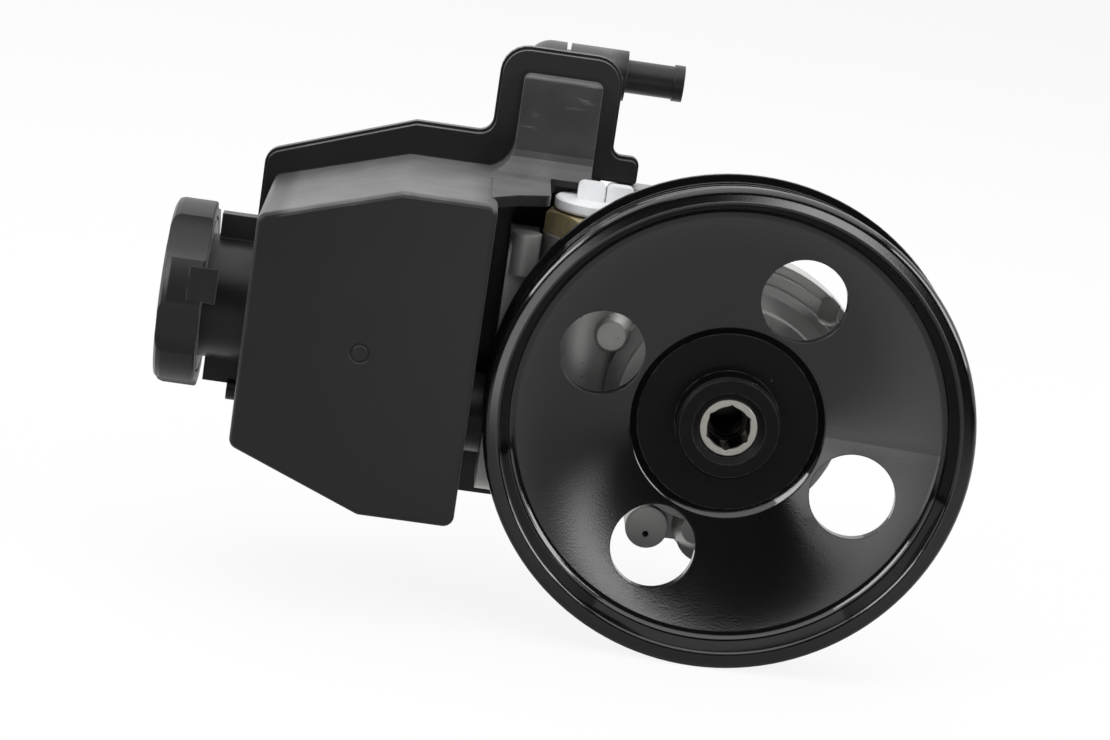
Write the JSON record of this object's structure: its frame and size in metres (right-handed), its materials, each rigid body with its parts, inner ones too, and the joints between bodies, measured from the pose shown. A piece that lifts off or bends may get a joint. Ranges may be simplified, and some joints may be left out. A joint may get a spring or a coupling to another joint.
{
  "type": "power steering pump",
  "caption": "Belt-driven vane pump with a grooved bowl pulley, cast aluminium housing, plugged pressure port and a black plastic fluid tank with return nipple and screw cap.",
  "frame": {"origin": "on the shaft axis, at the rear face of the mounting lugs", "axes": "+Y along the shaft away from the pulley, +Z towards the pressure port, -X towards the filler cap"},
  "size_m": [0.231, 0.113, 0.1618],
  "materials": {
    "pulley_paint": "satin black paint",
    "hub_steel": "black phosphated steel",
    "shaft_steel": "turned steel",
    "cast_aluminium": "bare casting",
    "bearing_steel": "ground steel",
    "cage_brass": "pressed cage",
    "spring_steel": "oiled spring steel",
    "seal_rubber": "matt",
    "bush_bronze": "sintered bronze",
    "sintered_steel": "ground sintered steel",
    "yellow_zinc": "yellow zinc plating",
    "white_plastic": "moulded",
    "tank_plastic": "fine grained",
    "cap_plastic": "fine grained",
    "screw_steel": "zinc plated"
  },
  "bodies": {
    "pump_body": {"pump_housing": "cast_aluminium", "bearing_outer_race": "bearing_steel", "bearing_snap_ring": "spring_steel", "shaft_seal": "seal_rubber", "shaft_bush": "bush_bronze", "front_plate": "sintered_steel", "cam_ring": "sintered_steel", "rear_plate": "sintered_steel", "dowel_pins": "bearing_steel", "plate_spring": "spring_steel", "rear_cover": "cast_aluminium", "cover_o_ring": "seal_rubber", "cover_ring": "spring_steel", "valve_spring": "spring_steel", "valve_plug": "yellow_zinc", "valve_plug_o_ring": "seal_rubber", "port_fitting": "yellow_zinc", "fitting_o_ring": "seal_rubber", "port_plug": "white_plastic", "tank_front_shell": "tank_plastic", "tank_rear_shell": "tank_plastic", "spigot_o_ring": "seal_rubber", "tank_screws": "screw_steel"},
    "drive": {"pulley": "pulley_paint", "pulley_hub": "hub_steel", "drive_shaft": "shaft_steel", "bearing_inner_race": "bearing_steel", "rotor": "sintered_steel", "vanes": "bearing_steel", "rotor_snap_ring": "spring_steel"},
    "ball_cage": {"bearing_balls": "bearing_steel", "bearing_cage": "cage_brass"},
    "spool": {"valve_spool": "bearing_steel"},
    "seal_ring": {"cap_seal": "seal_rubber"},
    "cap": {"filler_cap": "cap_plastic", "dipstick": "cap_plastic"}
  },
  "joints": [
    {"name": "pulley_spin", "type": "hinge", "parent": "pump_body", "child": "drive", "pos_m": [0, 0, 0], "axis": [0, 1, 0], "continuous": true},
    {"name": "cage_spin", "type": "hinge", "parent": "pump_body", "child": "ball_cage", "pos_m": [0, 0, 0], "axis": [0, 1, 0], "continuous": true},
    {"name": "cap_lift", "type": "slide", "parent": "pump_body", "child": "seal_ring", "axis": [-1, 0, 0], "range_m": [0, 0.006]},
    {"name": "cap_turn", "type": "hinge", "parent": "seal_ring", "child": "cap", "pos_m": [-0.1492, -0.0194, 0.0128], "axis": [-1, 0, 0], "range_deg": [0, 540]},
    {"name": "spool_slide", "type": "slide", "parent": "pump_body", "child": "spool", "axis": [0, 0, -1], "range_m": [0, 0.005], "stiffness_N_per_m": 6000, "deforming": ["valve_spring"]}
  ],
  "couplings": [
    {"joint": "cage_spin", "follows": "pulley_spin", "ratio": 0.3816},
    {"joint": "cap_turn", "follows": "cap_lift", "rad_per_m": 1570.8}
  ]
}
